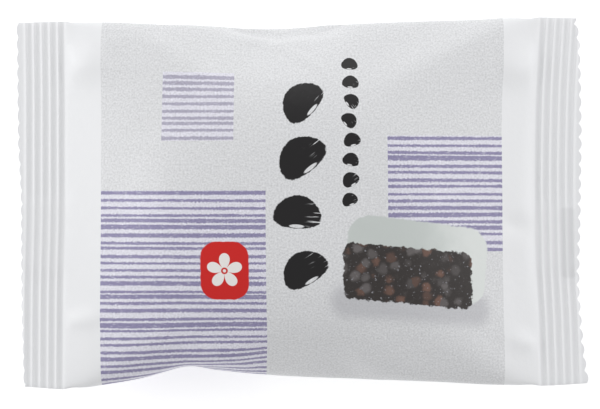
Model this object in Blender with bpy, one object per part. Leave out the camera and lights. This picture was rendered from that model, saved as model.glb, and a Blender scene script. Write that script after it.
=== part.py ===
"""Sealed flow-wrap packet with one bean-paste sweet inside, lying on its back.

One tube of white film is closed by a fin seam along its back and by a crimped
band at each end, which a toothed knife cuts off. The sweet is out of sight, so
the packet is one solid. Metres, +X along the packet, +Y across it towards the
top of the print, +Z out of the printed front. The origin is on the surface
that the packet lies on, under the middle of its box.
"""

import math

import bmesh
import bpy
from mathutils import Matrix, Vector

MM = 0.001

# Driving sizes of the packet.
LAY_FLAT_WIDTH = 77.0 * MM
SEALED_SHEET = 0.5 * MM

# Crimped bands: ribs run across the packet, with a flat strip outside them.
RIB_COUNT = 6
RIB_PITCH = 1.7 * MM
RIB_HEIGHT = 0.36 * MM
RIB_NARROWING = 1.4
RIB_MIDDLE = 0.4
COLUMNS_PER_RIB = 4
FLAT_STRIP = 3.6 * MM

# Toothed cut at both ends.
TOOTH_PITCH = 2.9 * MM
TOOTH_DEPTH = 0.6 * MM
TOOTH_ROUNDING = 0.8
STEPS_PER_TOOTH = 6
KNIFE_REACH = LAY_FLAT_WIDTH / 2 + 3 * MM
KNIFE_BACK = 70 * MM
KNIFE_HEIGHT = 20 * MM

# Fin seam, folded flat on the back.
FIN_TOP = 0.4 * MM
FIN_WIDTH = 15.0 * MM
FIN_STEP = 0.45 * MM
FIN_EDGE = 0.9 * MM

# Grid of the pillow between the bands.
BODY_COLUMNS = 34
HALF_ROWS = 12
ROW_CROWDING = 0.55
ROW_CLEARANCE = 0.02

# Section of the pillow: exponents of its curve at the flat ends, and what they
# gain over the sweet, whose full height lies between the two inner places.
END_SHOULDER = 2.0
END_ROUNDNESS = 1.0
FULL_SHOULDER = 1.0
FULL_ROUNDNESS = 0.5
FILLS_FROM = (-49.0 * MM, -26.0 * MM)
FILLS_TO = (12.0 * MM, 48.0 * MM)

# Tucks that run from the bands' corners to the sweet, as (x, y) in millimetres.
TUCKS = (
    ((-49.0, 34.0), (-27.0, 23.0)),
    ((-49.0, -30.0), (-24.0, -27.0)),
    ((48.5, 33.0), (22.0, 24.0)),
    ((48.5, -31.0), (22.0, -25.0)),
)
TUCK_DEPTH = 0.75 * MM
TUCK_WIDTH = 3.2 * MM
TUCK_START = 0.15

# Pleats that fan out from the bands: pitch, phase and the places between which
# they die away in the pillow.
PLEAT_RISE = 0.32 * MM
PLEAT_FADE = 0.25
LEFT_PLEATS = (11.0 * MM, 0.6, -50.0 * MM, -34.0 * MM)
RIGHT_PLEATS = (13.0 * MM, 2.1, 49.0 * MM, 32.0 * MM)

SHARP_ANGLE = 35

# Outlines seen from above, as (x, y) in millimetres: the folded long sides.
TOP_SIDE = ((-60.3, 38.2), (-49.8, 38.5), (-26.0, 37.8), (-7.4, 37.0),
            (8.0, 37.9), (33.0, 38.9), (47.0, 39.5), (57.5, 39.3))
BOTTOM_SIDE = ((-58.8, -38.5), (-48.9, -39.1), (-42.6, -38.3), (-34.2, -36.8),
               (-23.1, -34.3), (-18.5, -35.0), (-0.6, -36.5), (26.7, -37.5),
               (49.8, -38.4), (60.3, -37.9))

# The cut ends and the innermost ribs of the bands, as (y, x) in millimetres.
LEFT_CUT = ((-38.0, -58.8), (-20.0, -59.3), (0.0, -59.4), (13.0, -60.0),
            (38.0, -60.3))
RIGHT_CUT = ((-38.0, 60.3), (-34.0, 59.6), (-27.0, 58.8), (-16.0, 58.0),
             (0.0, 58.3), (15.0, 58.5), (33.6, 58.2), (39.3, 57.5))
LEFT_BAND = ((-38.6, -50.1), (-20.0, -50.0), (0.0, -49.6), (20.0, -49.6),
             (38.2, -49.8))
RIGHT_BAND = ((-38.0, 49.8), (-24.0, 49.3), (-10.0, 48.6), (5.0, 48.4),
              (20.0, 48.6), (39.4, 49.6))

# Profiles along the packet, as (x, z) in millimetres: the crown of the front,
# the keel of the back and the height of the folded sides.
CROWN = ((-49.5, 8.6), (-40.0, 13.0), (-30.0, 17.8), (-20.0, 19.9),
         (-10.0, 20.5), (8.0, 20.4), (20.0, 18.9), (30.0, 15.1),
         (40.0, 10.8), (48.5, 6.8))
KEEL = ((-49.5, 8.6), (-40.0, 4.8), (-30.0, 2.2), (-20.0, 0.5),
        (-12.0, 0.0), (12.0, 0.0), (20.0, 0.7), (30.0, 2.4), (40.0, 3.9),
        (48.5, 6.8))
SIDE_HEIGHT = ((-60.0, 8.2), (-49.5, 8.6), (-26.0, 9.4), (0.0, 9.2),
               (25.0, 8.0), (48.5, 6.8), (60.0, 6.0))


def through(knots):
    """Monotone cubic through the knots, held level past both ends."""
    xs = [a for a, _ in knots]
    ys = [b for _, b in knots]
    steps = [
        (ys[i + 1] - ys[i]) / (xs[i + 1] - xs[i]) for i in range(len(xs) - 1)
    ]
    slopes = [steps[0]]
    for before, after in zip(steps, steps[1:]):
        level = before * after <= 0
        slopes.append(0.0 if level else 2 * before * after / (before + after))
    slopes.append(steps[-1])

    def value(x):
        x = min(max(x, xs[0]), xs[-1])
        i = max(k for k in range(len(xs) - 1) if x >= xs[k])
        width = xs[i + 1] - xs[i]
        t = (x - xs[i]) / width
        return (
            ys[i] * (1 + 2 * t) * (1 - t) ** 2
            + slopes[i] * width * t * (1 - t) ** 2
            + ys[i + 1] * t * t * (3 - 2 * t)
            + slopes[i + 1] * width * t * t * (t - 1)
        )

    return lambda metres: value(metres / MM) * MM


top_side = through(TOP_SIDE)
bottom_side = through(BOTTOM_SIDE)
left_cut = through(LEFT_CUT)
right_cut = through(RIGHT_CUT)
left_band = through(LEFT_BAND)
right_band = through(RIGHT_BAND)
crown = through(CROWN)
keel = through(KEEL)
side_height = through(SIDE_HEIGHT)


def smooth_step(low, high, x):
    t = min(max((x - low) / (high - low), 0.0), 1.0)
    return t * t * (3 - 2 * t)


def row_places():
    """Rows of the grid, from -1 on the bottom side to 1 on the top side.

    They crowd towards both sides, where the film turns, and a pair of rows
    makes each edge of the fin seam.
    """
    rows = []
    for k in range(-HALF_ROWS, HALF_ROWS + 1):
        even = k / HALF_ROWS
        turned = math.sin(even * math.pi / 2)
        rows.append(even + ROW_CROWDING * (turned - even))
    half = LAY_FLAT_WIDTH / 2
    for edge in (FIN_TOP, FIN_TOP - FIN_WIDTH):
        pair = [(edge - FIN_EDGE / 2) / half, (edge + FIN_EDGE / 2) / half]
        rows = [r for r in rows if abs(r - edge / half) > ROW_CLEARANCE] + pair
    return sorted(rows)


def band_steps():
    """Distances outwards from the innermost rib at which a band's columns stand."""
    ribs_width = (RIB_COUNT - 1) * RIB_PITCH
    count = (RIB_COUNT - 1) * COLUMNS_PER_RIB
    ribs = [ribs_width * k / count for k in range(1, count + 1)]
    return ribs + [ribs_width + RIB_PITCH / 2, ribs_width + FLAT_STRIP]


def column_places():
    """Columns of the grid, as (share of the body, distance out in a band)."""
    steps = band_steps()
    return (
        [(0.0, out) for out in reversed(steps)]
        + [(k / BODY_COLUMNS, 0.0) for k in range(BODY_COLUMNS + 1)]
        + [(1.0, out) for out in steps]
    )


def rib_wave(out):
    """Height of the crimp: narrow ridges, then the level of the flat strip."""
    turns = min(out / RIB_PITCH, RIB_COUNT - 0.5)
    wave = 0.5 + 0.5 * math.cos(2 * math.pi * turns)
    return RIB_HEIGHT * (wave ** RIB_NARROWING - RIB_MIDDLE)


def place(share, out, v):
    """Where a grid point lies along the packet."""
    y = v * LAY_FLAT_WIDTH / 2
    outwards = -1 if share == 0 else 1
    return (1 - share) * left_band(y) + share * right_band(y) + outwards * out


def fullness(x):
    """0 in the flat bands, 1 where the sweet fills the packet."""
    return smooth_step(*FILLS_FROM, x) * (1 - smooth_step(*FILLS_TO, x))


def section(s, full):
    """Height share of the film at s, from 0 mid-width to 1 at the folds."""
    shoulder = END_SHOULDER + FULL_SHOULDER * full
    roundness = END_ROUNDNESS + FULL_ROUNDNESS * full
    return max(1 - abs(s) ** shoulder, 0.0) ** (1 / roundness)


def corner_tuck(x, y):
    """Depth of the tucks that run from each band's corners to the sweet."""
    depth = 0.0
    for start, end in TUCKS:
        a = Vector(start) * MM
        run = Vector(end) * MM - a
        p = Vector((x, y))
        along = min(max((p - a).dot(run) / run.length_squared, 0.0), 1.0)
        away = (p - (a + along * run)).length
        swell = math.sin(math.pi * (TUCK_START + (1 - TUCK_START) * along))
        depth += TUCK_DEPTH * swell * math.exp(-((away / TUCK_WIDTH) ** 2))
    return depth


def edge_pleats(x, y, share):
    """Shallow pleats that fan out from the bands and die in the pillow."""
    rise = 0.0
    for pitch, phase, at_band, gone in (LEFT_PLEATS, RIGHT_PLEATS):
        near = 1 - smooth_step(0.0, 1.0, (x - at_band) / (gone - at_band))
        rise += near * math.sin(2 * math.pi * y / pitch + phase)
    fade = smooth_step(0.0, PLEAT_FADE, share) * smooth_step(0.0, PLEAT_FADE, 1 - share)
    return PLEAT_RISE * rise * fade


def under_fin(y):
    """1 where the folded fin seam lies under the film, else 0."""
    above = smooth_step(FIN_TOP - FIN_EDGE / 2, FIN_TOP + FIN_EDGE / 2, y)
    low = FIN_TOP - FIN_WIDTH
    below = smooth_step(low - FIN_EDGE / 2, low + FIN_EDGE / 2, y)
    return below * (1 - above)


def film_point(share, out, v, front):
    """A point of the packet's skin on its printed front or on its back."""
    x = place(share, out, v)
    high_side = top_side(x)
    low_side = bottom_side(x)
    y = (high_side + low_side) / 2 + v * (high_side - low_side) / 2
    middle = side_height(x)
    half_sheet = SEALED_SHEET / 2
    fin = FIN_STEP * under_fin(v * LAY_FLAT_WIDTH / 2)
    if share in (0.0, 1.0):
        z = middle + rib_wave(out) + (half_sheet if front else -half_sheet - fin)
        return Vector((x, y, z))
    rise = section(v, fullness(x))
    if front:
        z = middle + half_sheet + (crown(x) - middle) * rise
        z += edge_pleats(x, y, share) - corner_tuck(x, y) * rise
        return Vector((x, y, z))
    z = middle - half_sheet - (middle - keel(x)) * rise - fin
    return Vector((x, y, max(z, 0.0)))


def gridded_box(columns, rows):
    """A box with that many grid lines along x and y, one layer thick."""
    bm = bmesh.new()
    bmesh.ops.create_cube(bm, size=1.0)
    for axis, count in ((0, len(columns) - 2), (1, len(rows) - 2)):
        along = [
            e
            for e in bm.edges
            if abs((e.verts[0].co - e.verts[1].co)[axis]) > 0.5
        ]
        bmesh.ops.subdivide_edges(bm, edges=along, cuts=count, use_grid_fill=True)
    return bm


def make_packet(collection):
    """The closed skin of the packet, before its ends are cut."""
    columns = column_places()
    rows = row_places()
    bm = gridded_box(columns, rows)
    for vertex in bm.verts:
        column = round((vertex.co.x + 0.5) * (len(columns) - 1))
        row = round((vertex.co.y + 0.5) * (len(rows) - 1))
        share, out = columns[column]
        vertex.co = film_point(share, out, rows[row], vertex.co.z > 0)
    bmesh.ops.triangulate(bm, faces=bm.faces, quad_method="SHORT_EDGE")
    bmesh.ops.recalc_face_normals(bm, faces=bm.faces)
    mesh = bpy.data.meshes.new("packet")
    bm.to_mesh(mesh)
    bm.free()
    packet = bpy.data.objects.new("packet", mesh)
    collection.objects.link(packet)
    return packet


def tooth_outline(cut, outwards):
    """The knife's wavy line down one end, then back outside the packet."""
    count = math.ceil(2 * KNIFE_REACH / TOOTH_PITCH) * STEPS_PER_TOOTH
    line = []
    for k in range(count + 1):
        y = -KNIFE_REACH + 2 * KNIFE_REACH * k / count
        wave = abs(math.sin(math.pi * y / TOOTH_PITCH)) ** TOOTH_ROUNDING
        x = cut(y) - outwards * TOOTH_DEPTH * (1 - wave)
        line.append(Vector((x, y, 0.0)))
    far = outwards * KNIFE_BACK
    return line + [Vector((far, KNIFE_REACH, 0.0)), Vector((far, -KNIFE_REACH, 0.0))]


def make_knife(name, cut, outwards, collection):
    """A tall block with one toothed face, which trims an end."""
    bm = bmesh.new()
    corners = [bm.verts.new(p) for p in tooth_outline(cut, outwards)]
    base = bm.faces.new(corners)
    grown = bmesh.ops.extrude_face_region(bm, geom=[base])
    raised = [g for g in grown["geom"] if isinstance(g, bmesh.types.BMVert)]
    bmesh.ops.translate(bm, verts=raised, vec=(0, 0, KNIFE_HEIGHT))
    bmesh.ops.recalc_face_normals(bm, faces=bm.faces)
    mesh = bpy.data.meshes.new(name)
    bm.to_mesh(mesh)
    bm.free()
    knife = bpy.data.objects.new(name, mesh)
    knife.hide_render = True
    knife.display_type = "WIRE"
    collection.objects.link(knife)
    return knife


def trim_ends(packet, collection):
    """Cuts the toothed line across both bands."""
    for name, cut, outwards in (
        ("left_knife", left_cut, -1),
        ("right_knife", right_cut, 1),
    ):
        modifier = packet.modifiers.new(name, "BOOLEAN")
        modifier.operation = "DIFFERENCE"
        modifier.solver = "EXACT"
        modifier.object = make_knife(name, cut, outwards, collection)


def settle_origin(packet, knives):
    """Moves the origin under the middle of the trimmed packet's box."""
    graph = bpy.context.evaluated_depsgraph_get()
    corners = [Vector(c) for c in packet.evaluated_get(graph).bound_box]
    low = Vector(min(c[k] for c in corners) for k in range(3))
    high = Vector(max(c[k] for c in corners) for k in range(3))
    shift = Vector(((low.x + high.x) / 2, (low.y + high.y) / 2, low.z))
    for obj in [packet, *knives.objects]:
        obj.data.transform(Matrix.Translation(-shift))


def film_material():
    """White laminated film with a soft sheen."""
    material = bpy.data.materials.new("white_film")
    material.use_nodes = True
    shader = material.node_tree.nodes["Principled BSDF"]
    shader.inputs["Base Color"].default_value = (0.80, 0.81, 0.83, 1.0)
    shader.inputs["Roughness"].default_value = 0.42
    shader.inputs["Metallic"].default_value = 0.0
    return material


def clear_scene():
    for obj in list(bpy.data.objects):
        bpy.data.objects.remove(obj, do_unlink=True)


def new_collection(name):
    collection = bpy.data.collections.new(name)
    bpy.context.scene.collection.children.link(collection)
    return collection


def main():
    clear_scene()
    parts = new_collection("sweet_packet")
    knives = new_collection("knives")
    knives.hide_render = True
    packet = make_packet(parts)
    packet.data.materials.append(film_material())
    trim_ends(packet, knives)
    settle_origin(packet, knives)
    packet.data.shade_smooth()
    packet.data.set_sharp_from_angle(angle=math.radians(SHARP_ANGLE))


main()
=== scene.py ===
import math

import bpy
import numpy as np
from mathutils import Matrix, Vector


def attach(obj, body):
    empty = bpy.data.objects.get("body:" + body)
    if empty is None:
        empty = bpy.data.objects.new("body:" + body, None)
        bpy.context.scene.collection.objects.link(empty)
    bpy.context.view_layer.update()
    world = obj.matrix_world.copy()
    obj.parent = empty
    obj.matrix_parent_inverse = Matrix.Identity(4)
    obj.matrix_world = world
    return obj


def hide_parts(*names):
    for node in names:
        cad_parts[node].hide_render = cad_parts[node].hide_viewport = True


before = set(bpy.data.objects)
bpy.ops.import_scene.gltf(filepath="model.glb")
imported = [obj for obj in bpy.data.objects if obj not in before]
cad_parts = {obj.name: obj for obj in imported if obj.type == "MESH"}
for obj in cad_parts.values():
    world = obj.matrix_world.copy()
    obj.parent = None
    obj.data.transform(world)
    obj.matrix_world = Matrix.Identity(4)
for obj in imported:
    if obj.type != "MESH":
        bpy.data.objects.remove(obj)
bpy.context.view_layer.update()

# The film.
# One web of white laminated film, folded into a tube that lies 77 mm wide when it
# is flat. Heated jaws crimp it shut across both ends, in narrow ribs.
MM = 0.001
TINY = 1e-6
LAY_FLAT = 77.0 * MM
SIDE_ROUND = 2.0 * MM
BODY_LENGTH = 102.5 * MM
BODY_COLUMNS = 62
ROWS = 46
TABLE_GAP = 1.6 * MM

# Each rib is a narrow ridge: its height at five shares of the pitch.
RIB_PITCH = 1.7 * MM
RIB_COUNT = 6
RIB_SHARES = (0.0, 0.17, 0.34, 0.66, 0.83)
RIB_HEIGHTS = (1.0, 0.40, 0.0, 0.0, 0.40)
RIB_MIDDLE = 0.4
RIB_RISE = 0.42 * MM
FLAT_STRIP = 3.6 * MM
STRIP_SHARES = (0.0, 0.1, 0.2, 0.6, 1.0)
STRIP_STARTS = 0.2
SEALED_SHEET = 0.26 * MM

# Lines of the finished packet from above, as (along, across) in millimetres.
TOP_SIDE = ((-60.3, 38.2), (-49.8, 38.5), (-26.0, 37.8), (-7.4, 37.0),
            (8.0, 37.9), (33.0, 38.9), (47.0, 39.5), (57.5, 39.3))
BOTTOM_SIDE = ((-58.8, -38.5), (-48.9, -39.1), (-42.6, -38.3), (-34.2, -36.8),
               (-23.1, -34.3), (-18.5, -35.0), (-0.6, -36.5), (26.7, -37.5),
               (49.8, -38.4), (60.3, -37.9))
LEFT_CUT = ((-38.0, -58.8), (-20.0, -59.3), (0.0, -59.4), (13.0, -60.0),
            (38.0, -60.3))
RIGHT_CUT = ((-38.0, 60.5), (-34.0, 59.9), (-27.0, 59.1), (-16.0, 58.4),
             (0.0, 58.7), (15.0, 58.9), (33.6, 58.5), (39.3, 57.8))
LEFT_BAND = ((-38.6, -50.1), (-20.0, -50.0), (0.0, -49.6), (20.0, -49.6),
             (38.2, -49.8))
RIGHT_BAND = ((-38.0, 49.8), (-24.0, 49.3), (-10.0, 48.6), (5.0, 48.4),
              (20.0, 48.6), (39.4, 49.6))
SIDE_HEIGHT = ((-60.0, 8.2), (-49.5, 8.6), (-26.0, 9.4), (0.0, 9.2),
               (25.0, 8.0), (48.5, 6.8), (60.0, 6.0))

FIN_TOP = 0.4 * MM
FIN_WIDTH = 15.0 * MM
FIN_EDGE = 0.5 * MM
FIN_UNDER_BAND = 0.14 * MM
FIN_STIFFENS = 0.3
LINE_TURNS = 3


def through(knots):
    """Smooth line through knots in millimetres, for lengths in metres."""
    places, values = np.array(knots).T
    widths = np.diff(places)
    steps = np.diff(values) / widths
    slopes = np.concatenate((steps[:1], np.zeros(len(steps) - 1), steps[-1:]))
    same_way = steps[:-1] * steps[1:] > 0
    pairs = 2 * steps[:-1] * steps[1:] / np.where(same_way, steps[:-1] + steps[1:], 1)
    slopes[1:-1] = np.where(same_way, pairs, 0)

    def value(at):
        x = np.clip(np.asarray(at) / MM, places[0], places[-1])
        i = np.clip(np.searchsorted(places, x, side="right") - 1, 0, len(widths) - 1)
        t = (x - places[i]) / widths[i]
        return MM * (
            values[i] * (1 + 2 * t) * (1 - t) ** 2
            + slopes[i] * widths[i] * t * (1 - t) ** 2
            + values[i + 1] * t * t * (3 - 2 * t)
            + slopes[i + 1] * widths[i] * t * t * (t - 1)
        )

    return value


top_side = through(TOP_SIDE)
bottom_side = through(BOTTOM_SIDE)
left_cut = through(LEFT_CUT)
right_cut = through(RIGHT_CUT)
left_band = through(LEFT_BAND)
right_band = through(RIGHT_BAND)
side_height = through(SIDE_HEIGHT)


def smooth_step(low, high, x):
    t = np.clip((x - low) / (high - low), 0, 1)
    return t * t * (3 - 2 * t)


def under_fin(y):
    """1 where the folded fin seam lies under the film, else 0."""
    low = FIN_TOP - FIN_WIDTH
    half = FIN_EDGE / 2
    return smooth_step(low - half, low + half, y) * (
        1 - smooth_step(FIN_TOP - half, FIN_TOP + half, y)
    )


def points_of(mesh):
    co = np.empty(len(mesh.vertices) * 3, np.float32)
    mesh.vertices.foreach_get("co", co)
    return co.reshape(-1, 3).astype(float)


def set_points(mesh, co):
    mesh.vertices.foreach_set("co", co.astype(np.float32).ravel())
    mesh.update()


def keep_only(obj):
    bpy.ops.object.select_all(action="DESELECT")
    obj.select_set(True)
    bpy.context.view_layer.objects.active = obj


def pick(obj, kind, chosen):
    """Opens the piece for editing, with only the chosen points, edges or faces picked."""
    keep_only(obj)
    bpy.ops.object.mode_set(mode="EDIT")
    bpy.ops.mesh.select_mode(type=kind)
    bpy.ops.mesh.select_all(action="DESELECT")
    bpy.ops.object.mode_set(mode="OBJECT")
    mesh = obj.data
    parts = {"VERT": mesh.vertices, "EDGE": mesh.edges, "FACE": mesh.polygons}
    parts[kind].foreach_set("select", chosen)
    bpy.ops.object.mode_set(mode="EDIT")


def face_outwards(obj):
    pick(obj, "FACE", [True] * len(obj.data.polygons))
    bpy.ops.mesh.normals_make_consistent(inside=False)
    bpy.ops.object.mode_set(mode="OBJECT")


def apply_modifier(obj, kind, **values):
    keep_only(obj)
    modifier = obj.modifiers.new(kind.lower(), kind)
    for name, value in values.items():
        setattr(modifier, name, value)
    bpy.ops.object.modifier_apply(modifier=modifier.name)


def band_steps():
    """Distances outwards from the body at which the band's columns stand."""
    ribs = [
        (k + share) * RIB_PITCH for k in range(RIB_COUNT - 1) for share in RIB_SHARES
    ]
    last = (RIB_COUNT - 1) * RIB_PITCH
    return ribs[1:] + [last + share * FLAT_STRIP for share in STRIP_SHARES]


def flat_web():
    """The flat tube: a gridded sheet with its band columns, front and back."""
    bpy.ops.object.select_all(action="DESELECT")
    bpy.ops.mesh.primitive_grid_add(x_subdivisions=BODY_COLUMNS, y_subdivisions=ROWS, size=1)
    web = bpy.context.object
    web.name = "packet_film"
    web.scale = (BODY_LENGTH, LAY_FLAT - SIDE_ROUND, 1)
    bpy.ops.object.transform_apply(location=False, rotation=False, scale=True)
    steps = band_steps()
    for side in (-1, 1):
        at_end = np.abs(points_of(web.data)[:, 0] - side * BODY_LENGTH / 2) < TINY
        pick(web, "EDGE", [bool(at_end[list(edge.vertices)].all()) for edge in web.data.edges])
        for before, after in zip([0.0] + steps, steps):
            bpy.ops.mesh.extrude_region_move(
                TRANSFORM_OT_translate={"value": (side * (after - before), 0, 0)}
            )
        bpy.ops.object.mode_set(mode="OBJECT")
    apply_modifier(web, "SOLIDIFY", thickness=SIDE_ROUND, offset=0)
    face_outwards(web)
    return web


film = flat_web()
flat = points_of(film.data)
in_bands = np.abs(flat[:, 0]) > BODY_LENGTH / 2 - TINY


def rib_wave(distance):
    """Height of the crimp at a distance outwards from the body, 1 on a ridge."""
    turns = np.clip(distance / RIB_PITCH, 0, RIB_COUNT - 1)
    shares = np.array(RIB_SHARES + (1.0,))
    heights = np.array(RIB_HEIGHTS + (1.0,))
    return np.interp(turns % 1.0, shares, heights)


def sealed_points(flat):
    """Where the crimping jaws hold the bands: their ribs, lines and heights."""
    x, y, z = flat.T
    side = np.sign(x)
    out = np.abs(x) - BODY_LENGTH / 2
    share = y / (LAY_FLAT - SIDE_ROUND) + 0.5
    ribs = (RIB_COUNT - 1) * RIB_PITCH
    held = x.copy()
    across = y.copy()
    for _ in range(LINE_TURNS):
        low, high = bottom_side(held), top_side(held)
        across = low + share * (high - low)
        held = np.where(side < 0, left_band(across), right_band(across)) + side * out
    wave = rib_wave(out) * (1 - smooth_step(ribs, ribs + STRIP_STARTS * FLAT_STRIP, out))
    pressed = under_fin(across)
    rise = RIB_RISE * (1 - FIN_STIFFENS * pressed) * (wave - RIB_MIDDLE)
    sheet = np.sign(z) * SEALED_SHEET / 2
    fin = FIN_UNDER_BAND * pressed * (z > 0)
    return np.stack((held, across, side_height(held) + rise + sheet + fin), axis=1)


# The sweet and the air round it fill the film while it takes its form. They are
# taken out again, as nothing of them can be seen. Two fingertips pull the folded
# sides in where the packet in hand is pulled in.
SIM_SCALE = 10.0
FILM_FRAMES = 45
FILL_FRAMES = 20
FILLING = Vector((70.0, 57.0, 19.6)) * MM
FILLING_PLACE = -3.0 * MM
PLAN_CORNER = 2.8
EDGE_ROUND = (3.2, 1.6)
START_THIN = 0.04
PRESSURE = 1.0
START_HEIGHT = TABLE_GAP + FILLING.z / 2
FINGERTIP = 6.0 * MM
PULLED_IN = ((-7.0 * MM, 1, 35.2 * MM), (-23.0 * MM, -1, 33.0 * MM))
TABLE_BLOCK = Vector((200, 160, 10)) * MM
TOUCH = 0.2 * MM
HOLDS_BACK = 2 * MM
GRIP = 2.0
FILM_CLEARANCE = 0.3 * MM
FILM_STIFFNESS = {
    "quality": 8,
    "mass": 0.1,
    "tension_stiffness": 80,
    "compression_stiffness": 80,
    "shear_stiffness": 40,
    "bending_stiffness": 3,
    "tension_damping": 5,
    "compression_damping": 5,
    "shear_damping": 5,
}


def add_collision(obj):
    obj.modifiers.new("collision", "COLLISION")
    obj.collision.thickness_outer = TOUCH * SIM_SCALE
    obj.collision.thickness_inner = HOLDS_BACK * SIM_SCALE
    obj.collision.cloth_friction = GRIP


def filling():
    """The cushion-shaped filling: a ball, squared in plan and flat on top."""
    bpy.ops.object.select_all(action="DESELECT")
    bpy.ops.mesh.primitive_uv_sphere_add(segments=64, ring_count=40, radius=1)
    cushion = bpy.context.object
    x, y, z = points_of(cushion.data).T
    turn = np.arctan2(y, x)
    lean = np.arctan2(z, np.hypot(x, y))
    corner = np.abs(np.cos(turn)) ** PLAN_CORNER + np.abs(np.sin(turn)) ** PLAN_CORNER
    reach = corner ** (-1 / PLAN_CORNER) * np.cos(lean) ** (2 / EDGE_ROUND[0])
    rise = np.sign(z) * np.abs(np.sin(lean)) ** (2 / EDGE_ROUND[1])
    shape = np.stack((np.cos(turn) * reach, np.sin(turn) * reach, rise), axis=1)
    set_points(cushion.data, shape * np.array(FILLING) / 2 * SIM_SCALE)
    cushion.location = Vector((FILLING_PLACE, 0, START_HEIGHT)) * SIM_SCALE
    cushion.scale.z = START_THIN
    cushion.keyframe_insert("scale", frame=1)
    cushion.scale.z = 1
    cushion.keyframe_insert("scale", frame=FILL_FRAMES)
    add_collision(cushion)
    return cushion


def fingertip(x, side, y):
    """A fingertip that moves in from one long side until it stands at y."""
    bpy.ops.object.select_all(action="DESELECT")
    bpy.ops.mesh.primitive_uv_sphere_add(
        segments=24, ring_count=16, radius=FINGERTIP * SIM_SCALE, scale=(1, 1, 3)
    )
    tip = bpy.context.object
    far = side * (LAY_FLAT / 2 + FINGERTIP + TABLE_GAP)
    tip.location = Vector((x, far, START_HEIGHT)) * SIM_SCALE
    tip.keyframe_insert("location", frame=1)
    tip.location.y = side * (y + FINGERTIP) * SIM_SCALE
    tip.location.z = (START_HEIGHT - TABLE_GAP) * SIM_SCALE
    tip.keyframe_insert("location", frame=FILL_FRAMES)
    add_collision(tip)
    return tip


def table_top():
    bpy.ops.object.select_all(action="DESELECT")
    middle = (0, 0, -TABLE_BLOCK.z / 2 * SIM_SCALE)
    bpy.ops.mesh.primitive_cube_add(size=1, location=middle)
    table = bpy.context.object
    table.scale = TABLE_BLOCK * SIM_SCALE
    bpy.ops.object.transform_apply(location=True, rotation=False, scale=True)
    add_collision(table)
    return table


def wrap_sweet(film):
    """Lets the film take its form over the sweet, with a little air in it."""
    helpers = [filling(), table_top()] + [fingertip(*pull) for pull in PULLED_IN]
    start = flat + np.array((0, 0, START_HEIGHT))
    set_points(film.data, start * SIM_SCALE)
    held = [int(i) for i in np.nonzero(in_bands)[0]]
    film.vertex_groups.new(name="crimped").add(held, 1.0, "REPLACE")
    film.shape_key_add(name="flat")
    sealed = film.shape_key_add(name="sealed")
    target = sealed_points(flat)
    for i in held:
        sealed.data[i].co = target[i] * SIM_SCALE
    sealed.value = 0
    sealed.keyframe_insert("value", frame=1)
    sealed.value = 1
    sealed.keyframe_insert("value", frame=FILL_FRAMES)
    keep_only(film)
    cloth = film.modifiers.new("cloth", "CLOTH")
    settings = cloth.settings
    for name, value in FILM_STIFFNESS.items():
        setattr(settings, name, value)
    settings.vertex_group_mass = "crimped"
    settings.use_pressure = True
    settings.uniform_pressure_force = PRESSURE
    settings.effector_weights.gravity = 0
    cloth.collision_settings.distance_min = FILM_CLEARANCE * SIM_SCALE
    cloth.collision_settings.collision_quality = 3
    cloth.point_cache.frame_end = FILM_FRAMES
    for moment in range(1, FILM_FRAMES + 1):
        bpy.context.scene.frame_set(moment)
    keep_only(film)
    bpy.ops.object.convert(target="MESH")
    bpy.context.scene.frame_set(1)
    for helper in helpers:
        bpy.data.objects.remove(helper, do_unlink=True)
    set_points(film.data, points_of(film.data) / SIM_SCALE)


wrap_sweet(film)


# The film is stiffer than cloth, so its folds are shallower. They are eased, and
# the folded sides are set to the packet's own lines from above.
BRUSH = 0.5
EASE_TURNS = 14
EASE_SHARE = 0.6
FOLD_TURNS = 2
PRESSED_FLAT = 0.15 * MM
FIN_THICK = 0.32 * MM
SIDE_STATIONS = np.arange(-50, 50.5, 1.0) * MM
STATION_REACH = 1.2 * MM
SIDE_BLUR = np.array((1, 2, 3, 2, 1)) / 9
COLUMN_STEP = 0.01 * MM


def ease_folds(film, turns, share):
    """Smooths the body by a share of what that many turns of the brush do."""
    co = points_of(film.data)
    pick(film, "VERT", ~in_bands)
    bpy.ops.mesh.vertices_smooth(factor=BRUSH, repeat=turns)
    bpy.ops.object.mode_set(mode="OBJECT")
    set_points(film.data, co + share * (points_of(film.data) - co))


def soften(line):
    return np.convolve(np.pad(line, len(SIDE_BLUR) // 2, "edge"), SIDE_BLUR, "valid")


def draw_sides(film):
    """Stretches the body across until its sides stand on the measured lines."""
    co = points_of(film.data)
    x, y, _ = co.T
    near = [np.abs(x - at) < STATION_REACH for at in SIDE_STATIONS]
    up = top_side(SIDE_STATIONS) / soften(np.array([y[n].max() for n in near]))
    down = bottom_side(SIDE_STATIONS) / soften(np.array([y[n].min() for n in near]))
    above = np.interp(x, SIDE_STATIONS, up)
    below = np.interp(x, SIDE_STATIONS, down)
    stretched = y * np.where(y > 0, above, below)
    co[:, 1] = np.where(in_bands, y, stretched)
    set_points(film.data, co)


def settle(film):
    """Lets the back lie on the table, lifted by the fin seam under it."""
    co = points_of(film.data)
    co[:, 2] -= co[:, 2].min() + PRESSED_FLAT
    co[:, 2] = np.maximum(co[:, 2], FIN_THICK * under_fin(co[:, 1]))
    set_points(film.data, co)


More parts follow.
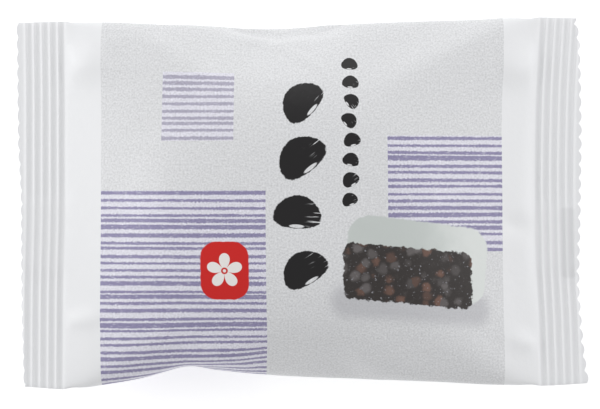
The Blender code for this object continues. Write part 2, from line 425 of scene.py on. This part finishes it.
def measure_around(film):
    """Distance of each point round its column, from the front's middle line."""
    half = (LAY_FLAT - SIDE_ROUND) / 2
    co = points_of(film.data)
    around = flat[:, 1].copy()
    columns = np.round(flat[:, 0] / COLUMN_STEP)
    for place in np.unique(columns):
        column = np.nonzero(columns == place)[0]
        front = column[flat[column, 2] > 0]
        front = front[np.argsort(flat[front, 1])]
        steps = np.linalg.norm(np.diff(co[front, 1:], axis=0), axis=1)
        run = np.concatenate(([0.0], np.cumsum(steps)))
        middle = np.argmin(np.abs(flat[front, 1]))
        around[front] = co[front[middle], 1] + run - run[middle]
        for side, end in ((-1, front[0]), (1, front[-1])):
            back = column[(flat[column, 2] < 0) & (flat[column, 1] * side > -TINY)]
            behind = back[np.argmax(flat[back, 1] * side)]
            fold = around[end] + side * np.linalg.norm(co[behind] - co[end])
            share = 1 - np.abs(flat[back, 1]) / half
            around[back] = fold + share * (side * LAY_FLAT - fold)
    return around


def lay_out_print(film):
    """UV map of the unrolled web: one unit is its girth, and the fin seam its ends."""
    girth = 2 * LAY_FLAT
    around = measure_around(film)
    layer = film.data.uv_layers.active
    layer.name = "web"
    for face in film.data.polygons:
        on_low_side = flat[list(face.vertices), 1].mean() < 0
        for corner, vertex in zip(face.loop_indices, face.vertices):
            value = around[vertex]
            at_seam = flat[vertex, 2] < 0 and abs(flat[vertex, 1]) < TINY
            if at_seam and on_low_side:
                value = -LAY_FLAT
            layer.data[corner].uv = (flat[vertex, 0] / girth + 0.5, value / girth + 0.5)


ease_folds(film, EASE_TURNS, EASE_SHARE)
ease_folds(film, FOLD_TURNS, 1.0)
draw_sides(film)
settle(film)
lay_out_print(film)
apply_modifier(film, "SUBSURF", levels=1, render_levels=1)

# Where it has been handled, the film keeps thin creases, and flat facets beside
# the bands. Each is a low ridge, or a valley where its rise is below 0:
# start and end from above, rise and width, all in millimetres.
CREASES = (
    ((-25.2, 37.0), (-22.7, 31.2), 0.32, 0.8),
    ((-15.5, 37.2), (-4.2, 35.0), -0.90, 1.2),
    ((-4.2, 35.0), (8.8, 37.4), -0.80, 1.2),
    ((-15.8, 35.0), (-5.0, 33.2), 0.55, 1.1),
    ((-5.0, 33.2), (2.4, 34.8), 0.50, 1.1),
    ((-4.8, 33.2), (3.8, 28.0), 0.40, 0.9),
    ((-17.4, 8.4), (-11.1, 1.0), 0.14, 0.8),
    ((13.0, 8.6), (17.4, 1.8), 0.17, 0.8),
    ((-38.6, 12.8), (-30.8, 12.0), 0.14, 0.8),
    ((9.8, -2.0), (13.2, -4.4), 0.14, 0.8),
    ((-42.2, 34.8), (-39.2, 32.8), 0.32, 0.9),
    ((-41.6, 29.0), (-34.6, 28.8), 0.14, 0.9),
    ((-50.0, 28.6), (-42.0, 29.8), 0.80, 3.6),
    ((41.0, 27.6), (50.0, 30.4), 0.95, 3.8),
    ((42.0, -4.2), (48.4, -5.2), -0.40, 2.0),
    ((43.6, -28.0), (49.4, -30.0), 0.50, 1.8),
    ((-50.0, -24.8), (-42.0, -23.6), 0.45, 1.8),
)
CREASE_ENDS = 0.3
FACES_UP = (0.1, 0.6)
BAND_HOLDS = (-0.5 * MM, 1.5 * MM)


def press_crease(film, start, end, rise, width):
    """Lifts the front along a line, most at its middle and fading to both ends."""
    co = points_of(film.data)
    x, y, _ = co.T
    normals = np.array([vertex.normal for vertex in film.data.vertices])
    inside = np.minimum(x - left_band(y), right_band(y) - x)
    free = smooth_step(*FACES_UP, normals[:, 2]) * smooth_step(*BAND_HOLDS, inside)
    start, end = np.array(start) * MM, np.array(end) * MM
    run = end - start
    share = np.clip((co[:, :2] - start) @ run / (run @ run), 0, 1)
    off = np.linalg.norm(co[:, :2] - start - share[:, None] * run, axis=1)
    swell = CREASE_ENDS + (1 - CREASE_ENDS) * np.sin(np.pi * share)
    lift = free * rise * MM * swell * np.exp(-((off / (width * MM)) ** 2))
    set_points(film.data, co + lift[:, None] * normals)


for line in CREASES:
    press_crease(film, *line)

# Each end is cut off by a toothed knife.
TOOTH_PITCH = 2.9 * MM
TOOTH_DEPTHS = (0.45 * MM, 0.75 * MM)
TOOTH_ROUNDING = 0.7
TOOTH_DRIFT = 0.4
DRIFT_LENGTH = 9 * MM
STEPS_PER_TOOTH = 8
KNIFE_REACH = 42.0 * MM
KNIFE_BACK = 70.0 * MM
KNIFE_MIDDLE = 8.0 * MM
KNIFE_TALL = 30.0 * MM


def knife(cut, side, depth):
    """A tall block outside one end, with the knife's teeth on its inner face."""
    teeth = math.ceil(2 * KNIFE_REACH / TOOTH_PITCH)
    bpy.ops.object.select_all(action="DESELECT")
    bpy.ops.mesh.primitive_grid_add(
        x_subdivisions=1, y_subdivisions=teeth * STEPS_PER_TOOTH, size=2 * KNIFE_REACH
    )
    blade = bpy.context.object
    co = points_of(blade.data)
    inner = co[:, 0] * side < 0
    y = co[:, 1]
    turn = np.pi * y / TOOTH_PITCH + TOOTH_DRIFT * np.sin(y / DRIFT_LENGTH)
    wave = np.abs(np.sin(turn)) ** TOOTH_ROUNDING
    edge = cut(y) - side * depth * (1 - wave)
    co[:, 0] = np.where(inner, edge, side * KNIFE_BACK)
    co[:, 2] = KNIFE_MIDDLE
    set_points(blade.data, co)
    apply_modifier(blade, "SOLIDIFY", thickness=KNIFE_TALL, offset=0)
    face_outwards(blade)
    return blade


for cut, side, depth in ((left_cut, -1, TOOTH_DEPTHS[0]), (right_cut, 1, TOOTH_DEPTHS[1])):
    blade = knife(cut, side, depth)
    apply_modifier(film, "BOOLEAN", operation="DIFFERENCE", solver="EXACT", object=blade)
    bpy.data.objects.remove(blade, do_unlink=True)

# The web is printed before it is folded: a pale grey field with the grain of
# handmade paper between two bare margins. On it lie three fields of lilac
# stripes, two columns of inked beans, a red seal and a drawing of a sweet.
PAPER_WHITE = (0.86, 0.868, 0.885, 1)
PAPER_GREY = (0.745, 0.752, 0.768, 1)
FIELD_ENDS = (-43.0, 43.4)

# A grain is given by its scale, detail and roughness.
PAPER_GRAIN = (2.5, 3.0, 0.65)
PAPER_DEPTH = 0.85
FIBRE_GRAIN = (0.8, 4.0, 0.6)
FIBRE_DEPTH = 0.10
FIBRE_DRAWN = (0.35, 1.5, 0)


class Amount:
    """A number that varies over the film, read from a node, for ordinary sums."""

    def __init__(self, socket):
        self.socket = socket
        self.tree = socket.id_data

    def __add__(self, other):
        return work_out("ADD", self, other)

    def __sub__(self, other):
        return work_out("SUBTRACT", self, other)

    def __rsub__(self, other):
        return work_out("SUBTRACT", other, self)

    def __mul__(self, other):
        return work_out("MULTIPLY", self, other)

    def __truediv__(self, other):
        return work_out("DIVIDE", self, other)

    def __pow__(self, other):
        return work_out("POWER", self, other)

    def __gt__(self, other):
        return work_out("GREATER_THAN", self, other)

    def __lt__(self, other):
        return work_out("LESS_THAN", self, other)

    def __abs__(self):
        return work_out("ABSOLUTE", self)


def connect(socket, value):
    """Sets an input to a number or colour, or links it to what a node puts out."""
    if isinstance(value, Amount):
        value = value.socket
    if isinstance(value, bpy.types.NodeSocket):
        socket.id_data.links.new(value, socket)
    else:
        socket.default_value = value


def add_node(tree, kind, values, **options):
    node = tree.nodes.new(kind)
    for name, value in options.items():
        setattr(node, name, value)
    for name, value in values.items():
        connect(node.inputs[name], value)
    return node


def work_out(operation, *values):
    tree = next(value.tree for value in values if isinstance(value, Amount))
    numbers = dict(enumerate(values))
    node = add_node(tree, "ShaderNodeMath", numbers, operation=operation)
    return Amount(node.outputs[0])


def vector_sum(operation, values):
    """A Vector Math node worked out from its first input's tree."""
    first = values[0]
    node = add_node(first.id_data, "ShaderNodeVectorMath", values, operation=operation)
    return node.outputs


def fade(value, at_none, at_full):
    """0 where the value is at_none, 1 where it is at_full, smooth between."""
    values = {"Value": value, "From Min": at_none, "From Max": at_full}
    node = add_node(value.tree, "ShaderNodeMapRange", values, interpolation_type="SMOOTHSTEP")
    return Amount(node.outputs[0])


def spot(x, y, z=0.0):
    return add_node(x.tree, "ShaderNodeCombineXYZ", {0: x, 1: y, 2: z}).outputs[0]


def length(x, y):
    return Amount(vector_sum("LENGTH", {0: spot(x, y)})["Value"])


def noise(place, scale, detail=2.0, rough=0.5):
    values = {"Vector": place, "Scale": scale, "Detail": detail, "Roughness": rough}
    return Amount(add_node(place.id_data, "ShaderNodeTexNoise", values).outputs["Fac"])


def chances(row, seed):
    """Three chance numbers from 0 to 1 for each row."""
    tree = row.tree
    values = {"Vector": spot(row, seed)}
    node = add_node(tree, "ShaderNodeTexWhiteNoise", values, noise_dimensions="2D")
    parts = add_node(tree, "ShaderNodeSeparateColor", {0: node.outputs["Color"]})
    return [Amount(socket) for socket in parts.outputs]


def overprint(under, mask, ink):
    """The colour below with an ink laid over it where the mask is 1."""
    values = {0: mask, 6: under, 7: ink}
    return add_node(mask.tree, "ShaderNodeMix", values, data_type="RGBA").outputs[2]


def shaded(ink, shade):
    values = {0: ink[:3], "Scale": shade}
    return add_node(shade.tree, "ShaderNodeVectorMath", values, operation="SCALE").outputs[0]


def new_group(name, inputs, outputs):
    """An empty node group, with what it is given and where its results go."""
    group = bpy.data.node_groups.new(name, "ShaderNodeTree")
    for socket in inputs:
        group.interface.new_socket(socket, in_out="INPUT", socket_type="NodeSocketFloat")
    for socket in outputs:
        group.interface.new_socket(socket, in_out="OUTPUT", socket_type="NodeSocketFloat")
    sources = group.nodes.new("NodeGroupInput").outputs
    results = group.nodes.new("NodeGroupOutput").inputs
    return group, [Amount(sources[socket]) for socket in inputs], results


def use_group(tree, group, *values):
    node = tree.nodes.new("ShaderNodeGroup")
    node.node_tree = group
    for socket, value in zip(node.inputs, values):
        connect(socket, value)
    return [Amount(socket) for socket in node.outputs]


# A striped field. Its stripes wander, swell and fray as if brushed. Each field
# has its left, right, top and bottom, in millimetres from the front's middle, and
# its own seed.
LILAC = (0.285, 0.263, 0.425, 1)
FAINT_LILAC = (0.430, 0.412, 0.515, 1)
PALE_LILAC = (0.790, 0.780, 0.880, 1)
STRIPE_PITCH = 1.45
STRIPE_WANDER = 0.7
WANDER_GRAIN = 0.35
WANDER_DRAWN = 0.05
STRIPE_SHIFT = 0.34
STRIPE_HALF = 0.20
STRIPE_GAIN = 0.19
FEW_BROAD = 3.0
SWELL = (0.9, 0.55)
SWELL_DRAWN = 0.22
STRIPE_FRAY = 0.55
FRAY_GRAIN = (2.6, 3.0, 0.7)
STRIPE_EDGE = 0.06
STRIPE_DRY = 0.35
DRY_GRAIN = 2.4
DRY_DRAWN = 0.4
DRY_PLACES = (0.44, 0.30)
FIELD_TINT = 0.75
UPPER_LEFT = (-29.1, -14.0, 27.8, 13.2, 3.0)
LOWER_LEFT = (-50.0, -7.4, 2.8, -47.0, 11.0)
RIGHT_FIELD = (17.6, 50.0, 14.3, -9.9, 14.0)


def striped_field():
    """Uneven brushed stripes in a rectangle: their ink, and the field they lie in."""
    inputs = ("Along", "Around", "Left", "Right", "Top", "Bottom", "Seed")
    group, given, result = new_group("striped_field", inputs, ("Ink", "Field"))
    along, around, left, right, top, bottom, seed = given
    wander = (noise(spot(along * WANDER_DRAWN, around, seed), WANDER_GRAIN) - 0.5) * STRIPE_WANDER
    rows = (around + wander) / STRIPE_PITCH
    row = work_out("FLOOR", rows)
    place_chance, width_chance, _ = chances(row, seed)
    line_at = (place_chance - 0.5) * STRIPE_SHIFT + 0.5
    from_line = abs(work_out("FRACT", rows) - line_at)
    swell = noise(spot(along * SWELL_DRAWN, row, seed), 1.0) * SWELL[0] + SWELL[1]
    half = (width_chance ** FEW_BROAD * STRIPE_GAIN + STRIPE_HALF) * swell
    fray = (noise(spot(along, around), *FRAY_GRAIN) - 0.5) * STRIPE_FRAY
    line = fade(from_line + fray, half + STRIPE_EDGE, half - STRIPE_EDGE)
    dry = fade(noise(spot(along * DRY_DRAWN, around), DRY_GRAIN), *DRY_PLACES)
    inside = (along > left) * (along < right) * (around < top) * (around > bottom)
    connect(result["Ink"], line * (1 - dry * STRIPE_DRY) * inside)
    connect(result["Field"], inside)
    return group


# A rounded field, for the seal, the drawing of the sweet and a patch of painted shade. The
# numbers are its middle, half length, half height, round corners, lean, slope, rough and soft
# edge.
SEAL_RED = (0.640, 0.010, 0.008, 1)
SEAL_WHITE = (0.88, 0.85, 0.83, 1)
SEAL = (-15.85, -13.9, 4.95, 6.1, 3.3, 0.0, 0.0, 0.35, 0.10)
PETAL = 3.7
PETAL_TURNS = 2.5
PETAL_CURVE = 0.45
PETAL_EDGE = 0.08
HEART_RING = (0.62, 0.78)
HEART = (0.40, 0.28)
SHADOW_GREY = (0.50, 0.50, 0.53, 1)
POWDER_SHADE = (0.590, 0.630, 0.612, 1)
POWDER_LIGHT = (0.760, 0.790, 0.775, 1)
PASTE_BROWN = (0.036, 0.030, 0.028, 1)
PASTE_GREY = (0.165, 0.150, 0.150, 1)
BEAN_BROWN = (0.215, 0.115, 0.085, 1)
GLINT = (0.40, 0.40, 0.44, 1)
SWEET_SHADOW = (22.9, -21.2, 17.0, 3.4, 3.3, 0.0, 0.06, 0.6, 1.7)
SWEET_POWDER = (24.2, -11.8, 15.2, 8.2, 4.6, 0.08, 0.12, 0.8, 0.25)
SWEET_CUT = (22.3, -15.0, 13.8, 5.9, 1.6, 0.0, 0.09, 1.8, 0.16)
ROUGH_GRAIN = (0.9, 3.0)
SHADOW_SHARE = 0.62
POWDER_GRAIN = 0.3
POWDER_DRIFT = 6.0
POWDER_TURNS = (27.0, 40.0)
BEND_GRAIN = 0.5
BEND = (1.4, 1.4, 0)
BEAN_SCALE = 0.37
BEAN_SPREAD = 0.95
BROWN_BEANS = 0.66
BEAN_TONES = (0.6, 0.3)
BEAN_OUTLINE = (0.74, 0.44)
CRUMB_GRAIN = (1.1, 4.0, 0.8)
CRUMB_DEPTH = 0.4
GREY_CRUMBS = (0.56, 0.72)
GREY_SHARE = 0.35
GLINT_GRAIN = 1.5
GLINTS = (0.63, 0.72)
GLINT_SHARE = 0.7
# A soft darker patch on the right band's outer strip is painted shade, not print.
SHADE_PATCH = (58.6, -8.2, 1.5, 7.4, 0.9, 0.0, 0.0, 0.3, 0.45)
SHADE_PATCH_GREY = (0.74, 0.748, 0.765, 1)
SHADE_PATCH_SHARE = 0.6


def rounded_field():
    """A rectangle with round corners, which may lean, slope and have a rough edge."""
    inputs = ("Along", "Around", "Middle Along", "Middle Around", "Half Length", "Half Height",
              "Round", "Lean", "Slope", "Rough", "Soft")
    group, given, result = new_group("rounded_field", inputs, ("Mask",))
    along, around, middle_x, middle_y, half_x, half_y, corner, lean, slope, rough, soft = given
    x = along - middle_x
    y = around - middle_y + x * slope
    x = x - y * lean
    over_x = abs(x) - half_x + corner
    over_y = abs(y) - half_y + corner
    past = length(work_out("MAXIMUM", over_x, 0.0), work_out("MAXIMUM", over_y, 0.0))
    within = work_out("MINIMUM", work_out("MAXIMUM", over_x, over_y), 0.0)
    ragged = (noise(spot(along, around), *ROUGH_GRAIN) - 0.5) * rough
    connect(result["Mask"], fade(past + within - corner + ragged, soft, soft * -1.0))
    return group


# A column of inked beans. The numbers are its middle line, top and pitch, how many
# there are, their length and breadth, how far they may turn, and the seed.
BLACK_INK = (0.006, 0.005, 0.006, 1)
LARGE_BEANS = (0.1, 27.2, 11.7, 4.0, 10.4, 7.4, 0.9, 5.0)
SMALL_BEANS = (10.0, 31.9, 4.14, 8.0, 3.6, 2.9, 1.0, 2.0)
BEAN_SWAY = 0.3
BEAN_SIZES = (0.08, 0.46)
BEAN_BEND = 0.30
BEAN_MIDDLE = 0.4
BEAN_ROUGH = 0.16
BEAN_GRAIN = (1.1, 4.0, 0.6)
BEAN_EDGE = (1.0, 0.95)
EYE_PLACE = 0.72
EYE_SIZE = (0.30, 0.10)
EYE_EDGE = (1.15, 0.85)
STREAK_GRAIN = 1.6
STREAK_DRAWN = (0.6, 5.0)
STREAKS = (0.62, 0.70)
STREAK_SIDE = (0.2, 0.8)


def bean_column():
    """Inked beans one below the other, each with its own turn, size and dry streaks."""
    inputs = ("Along", "Around", "Middle", "Top", "Pitch", "Count", "Length", "Breadth",
              "Turn", "Seed")
    group, given, result = new_group("bean_column", inputs, ("Ink",))
    along, around, middle, top, pitch, count, long, broad, turn, seed = given
    down = (top - around) / pitch
    row = work_out("FLOOR", down)
    turn_chance, size_chance, sway_chance = chances(row, seed)
    x = along - middle - (sway_chance - 0.5) * broad * BEAN_SWAY
    y = (0.5 - work_out("FRACT", down)) * pitch
    values = {"Vector": spot(x, y), "Angle": (turn_chance * 2.0 - 1.0) * turn}
    turned = add_node(group, "ShaderNodeVectorRotate", values, rotation_type="Z_AXIS")
    turned = add_node(group, "ShaderNodeSeparateXYZ", {0: turned.outputs[0]}).outputs
    size = size_chance * BEAN_SIZES[0] + BEAN_SIZES[1]
    u = Amount(turned[0]) / (long * size)
    v = Amount(turned[1]) / (broad * size)
    radius = length(u, v + u * u * BEAN_BEND - BEAN_MIDDLE * BEAN_BEND)
    rough = (noise(spot(along, around), *BEAN_GRAIN) - 0.5) * BEAN_ROUGH
    body = fade(radius + rough, *BEAN_EDGE)
    eye = fade(length(u / EYE_SIZE[0], (v + EYE_PLACE) / EYE_SIZE[1]), *EYE_EDGE)
    drawn = spot(u * STREAK_DRAWN[0], v * STREAK_DRAWN[1], row)
    streak = fade(noise(drawn, STREAK_GRAIN), *STREAKS) * fade(u, *STREAK_SIDE)
    bare = work_out("MAXIMUM", eye, streak)
    counted = (down > 0.0) * (down < count)
    connect(result["Ink"], work_out("MAXIMUM", body - bare, 0.0) * counted)
    return group


striped_group = striped_field()
rounded_group = rounded_field()
bean_group = bean_column()


def web_place(tree):
    """Place on the web in millimetres from the front's middle, from its UV map."""
    girth = 2 * LAY_FLAT / MM
    uv = add_node(tree, "ShaderNodeUVMap", {}, uv_map="web").outputs[0]
    middle = vector_sum("SUBTRACT", {0: uv, 1: (0.5, 0.5, 0)})[0]
    place = vector_sum("MULTIPLY", {0: middle, 1: (girth, girth, 0)})[0]
    parts = add_node(tree, "ShaderNodeSeparateXYZ", {0: place}).outputs
    return place, Amount(parts[0]), Amount(parts[1])


def blossom(along, around):
    """A five-petalled flower with thin gaps between the petals and an open heart."""
    x = along - SEAL[0]
    y = around - SEAL[1]
    reach = length(x, y)
    turn = work_out("ARCTAN2", x, y) * PETAL_TURNS
    petal = abs(work_out("COSINE", turn)) ** PETAL_CURVE
    flower = fade(reach - petal * PETAL, PETAL_EDGE, -PETAL_EDGE) * fade(reach, *HEART_RING)
    return work_out("MAXIMUM", flower, fade(reach, *HEART))


def sweet_cut_colour(place):
    """The sweet's cut face: dark paste with whole beans, some brown, and glints."""
    tree = place.id_data
    values = {"Vector": place, "Scale": BEND_GRAIN}
    bent = add_node(tree, "ShaderNodeTexNoise", values).outputs["Color"]
    bent = vector_sum("MULTIPLY_ADD", {0: bent, 1: BEND, 2: place})[0]
    values = {"Vector": bent, "Scale": BEAN_SCALE, "Randomness": BEAN_SPREAD}
    cells = add_node(tree, "ShaderNodeTexVoronoi", values).outputs
    kind, tone, _ = [
        Amount(socket)
        for socket in add_node(tree, "ShaderNodeSeparateColor", {0: cells["Color"]}).outputs
    ]
    near = Amount(cells["Distance"])
    crumbs = noise(place, *CRUMB_GRAIN)
    bean = overprint(PASTE_GREY, kind > BROWN_BEANS, BEAN_BROWN)
    bean = overprint(PASTE_BROWN, tone * BEAN_TONES[0] + BEAN_TONES[1], bean)
    paste = overprint(PASTE_BROWN, fade(near + crumbs * CRUMB_DEPTH, *BEAN_OUTLINE), bean)
    paste = overprint(paste, fade(crumbs, *GREY_CRUMBS) * GREY_SHARE, PASTE_GREY)
    return overprint(paste, fade(noise(place, GLINT_GRAIN), *GLINTS) * GLINT_SHARE, GLINT)


def sweet_drawing(colour, place, along, around):
    """A plain drawing of a sweet: its shadow, its powdered skin and its cut face."""
    tree = place.id_data
    shadow, = use_group(tree, rounded_group, along, around, *SWEET_SHADOW)
    powder, = use_group(tree, rounded_group, along, around, *SWEET_POWDER)
    cut, = use_group(tree, rounded_group, along, around, *SWEET_CUT)
    lit = fade(along + noise(place, POWDER_GRAIN) * POWDER_DRIFT, *POWDER_TURNS)
    skin = overprint(POWDER_SHADE, lit, POWDER_LIGHT)
    colour = overprint(colour, shadow * SHADOW_SHARE, SHADOW_GREY)
    colour = overprint(colour, powder, skin)
    return overprint(colour, cut, sweet_cut_colour(place))


def print_colour(tree):
    """All the inks over the white film, with a patch of painted shade on the right band, as one
    colour.
    """
    place, along, around = web_place(tree)
    fine = (noise(place, *PAPER_GRAIN) - 0.5) * PAPER_DEPTH + 1.0
    drawn = vector_sum("MULTIPLY", {0: place, 1: FIBRE_DRAWN})[0]
    grain = fine * ((noise(drawn, *FIBRE_GRAIN) - 0.5) * FIBRE_DEPTH + 1.0)
    colour = shaded(PAPER_GREY, grain)
    for ink, field in ((FAINT_LILAC, UPPER_LEFT), (LILAC, LOWER_LEFT), (LILAC, RIGHT_FIELD)):
        stripes, inside = use_group(tree, striped_group, along, around, *field)
        colour = overprint(colour, inside * FIELD_TINT, shaded(PALE_LILAC, grain))
        colour = overprint(colour, stripes, shaded(ink, grain))
    colour = sweet_drawing(colour, place, along, around)
    seal, = use_group(tree, rounded_group, along, around, *SEAL)
    colour = overprint(colour, seal, SEAL_RED)
    colour = overprint(colour, blossom(along, around), SEAL_WHITE)
    for column in (LARGE_BEANS, SMALL_BEANS):
        beans, = use_group(tree, bean_group, along, around, *column)
        colour = overprint(colour, beans, BLACK_INK)
    # Painted shade: a soft darker patch over the right band's outer strip.
    painted_shade_patch, = use_group(tree, rounded_group, along, around, *SHADE_PATCH)
    white = overprint(PAPER_WHITE, painted_shade_patch * SHADE_PATCH_SHARE, SHADE_PATCH_GREY)
    return overprint(white, (along > FIELD_ENDS[0]) * (along < FIELD_ENDS[1]), colour)


# The film's finish: laminated, matt with a soft sheen, and faintly uneven.
RIPPLE_GRAIN = (0.45, 3.0, 0.55)
RIPPLE_STRENGTH = 0.35
RIPPLE_DEPTH = 0.15 * MM
ROUGHNESS = 0.38
ROUGHNESS_GAIN = 0.16
GLOSS = 0.4
SHEEN = 0.05
SHARP_ANGLE = math.radians(40)

white_film = bpy.data.materials.new("white_film")
white_film.use_nodes = True
tree = white_film.node_tree
shader = tree.nodes["Principled BSDF"]
ripple = noise(web_place(tree)[0], *RIPPLE_GRAIN)
values = {"Height": ripple, "Strength": RIPPLE_STRENGTH, "Distance": RIPPLE_DEPTH}
connect(shader.inputs["Normal"], add_node(tree, "ShaderNodeBump", values).outputs["Normal"])
connect(shader.inputs["Base Color"], print_colour(tree))
connect(shader.inputs["Roughness"], ripple * ROUGHNESS_GAIN + ROUGHNESS)
shader.inputs["Specular IOR Level"].default_value = GLOSS
shader.inputs["Sheen Weight"].default_value = SHEEN


def finish_piece(piece):
    """Gives a piece its film, its smooth shading and its place on the packet."""
    piece.data.materials.clear()
    piece.data.materials.append(white_film)
    keep_only(piece)
    bpy.ops.object.shade_smooth_by_angle(angle=SHARP_ANGLE)
    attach(piece, "root")


finish_piece(film)
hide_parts("packet")

# The fin seam.
# The web's two edges are sealed inside to inside along the back, which makes a
# fin of doubled film. It is folded over to one side and runs from end to end.
FIN_CUTS = 3
FIN_RIBS = 14
FIN_RIB_RISE = 0.05 * MM


def across_fin(mesh, corners):
    """How far the corners' middle lies across the fin: 0 at its fold, 1 at its edge."""
    layer = mesh.uv_layers["web"].data
    middle = sum(layer[corner].uv.y for corner in corners) / len(corners)
    return middle * 2 * LAY_FLAT / FIN_WIDTH


fin = bpy.data.objects.new("fin_seam", film.data.copy())
bpy.context.scene.collection.objects.link(fin)
# The faces of the cut ends have no place on the web, so they stand at 0.
shares = [across_fin(fin.data, face.loop_indices) for face in fin.data.polygons]
pick(fin, "FACE", [share < TINY or share >= 1 for share in shares])
bpy.ops.mesh.delete(type="FACE")
bpy.ops.object.mode_set(mode="OBJECT")
co = points_of(fin.data)
runs = [np.abs(co[edge.vertices[0]] - co[edge.vertices[1]]) for edge in fin.data.edges]
pick(fin, "EDGE", [bool(run[1] > run[0]) for run in runs])
bpy.ops.mesh.subdivide(number_cuts=FIN_CUTS)
bpy.ops.object.mode_set(mode="OBJECT")
co = points_of(fin.data)
for loop in fin.data.loops:
    share = across_fin(fin.data, [loop.index])
    rib = 0.5 - 0.5 * math.cos(2 * math.pi * FIN_RIBS * share)
    fin.data.vertices[loop.vertex_index].co.z = co[loop.vertex_index, 2] - FIN_RIB_RISE * rib
apply_modifier(fin, "SOLIDIFY", thickness=FIN_THICK - FIN_RIB_RISE, offset=1)
finish_piece(fin)

# The floor.
# A plain white table, lit from below as well, so that it stays white all over.
TABLE_SIZE = 1200 * MM
TABLE_LOW = 0.2 * MM
TABLE_WHITE = (0.92, 0.92, 0.92, 1)
TABLE_ROUGHNESS = 0.7
TABLE_GLOW = 0.40
bpy.ops.object.select_all(action="DESELECT")
bpy.ops.mesh.primitive_plane_add(size=TABLE_SIZE, location=(0, 0, -TABLE_LOW))
floor = bpy.context.object
floor.name = "floor"
table_white = bpy.data.materials.new("table_white")
table_white.use_nodes = True
shader = table_white.node_tree.nodes["Principled BSDF"]
shader.inputs["Base Color"].default_value = TABLE_WHITE
shader.inputs["Roughness"].default_value = TABLE_ROUGHNESS
shader.inputs["Emission Color"].default_value = (1, 1, 1, 1)
shader.inputs["Emission Strength"].default_value = TABLE_GLOW
floor.data.materials.append(table_white)

# The light.
# A white tent all round and three broad lamps low round the table: one beyond
# the packet's far side, and one at each end, the left one a little stronger.
# The tent's two lines are heights, from the level up, with its strength there.
TENT_LOW = (0.1, 0.50)
TENT_HIGH = (0.9, 0.55)
LAMP_SIZE = 0.4
LAMPS = {
    "far_lamp": ((0.0, 0.65, 0.45), 1.35),
    "left_lamp": ((-0.7, 0.1, 0.25), 2.1),
    "right_lamp": ((0.7, 0.1, 0.25), 1.7),
}
world = bpy.data.worlds.new("white_tent")
bpy.context.scene.world = world
world.use_nodes = True
tree = world.node_tree
direction = add_node(tree, "ShaderNodeTexCoord", {}).outputs["Generated"]
height = add_node(tree, "ShaderNodeSeparateXYZ", {0: direction}).outputs[2]
values = {
    "Value": height,
    "From Min": TENT_LOW[0],
    "From Max": TENT_HIGH[0],
    "To Min": TENT_LOW[1],
    "To Max": TENT_HIGH[1],
}
tent = add_node(tree, "ShaderNodeMapRange", values).outputs[0]
connect(tree.nodes["Background"].inputs["Strength"], tent)
connect(tree.nodes["Background"].inputs["Color"], (1, 1, 1, 1))
for name, (place, power) in LAMPS.items():
    bpy.ops.object.light_add(type="AREA", location=place)
    lamp = bpy.context.object
    lamp.name = name
    lamp.data.energy = power
    lamp.data.size = LAMP_SIZE
    lamp.rotation_euler = (-Vector(place)).to_track_quat("-Z", "Y").to_euler()

# The camera.
# It looks straight down from 0.9 m, and its view is 126 mm wide at the packet.
VIEW_WIDTH = 126.0 * MM
CAMERA_PLACE = (-0.0006, -0.0001, 0.9)
PRINT_HEIGHT = 9 * MM
SENSOR = 36
NEAREST = 0.01
bpy.ops.object.camera_add(location=CAMERA_PLACE)
camera = bpy.context.object
camera.data.sensor_width = SENSOR
camera.data.lens = SENSOR * (CAMERA_PLACE[2] - PRINT_HEIGHT) / VIEW_WIDTH
camera.data.clip_start = NEAREST
bpy.context.scene.camera = camera
bpy.context.scene.view_settings.view_transform = "Standard"
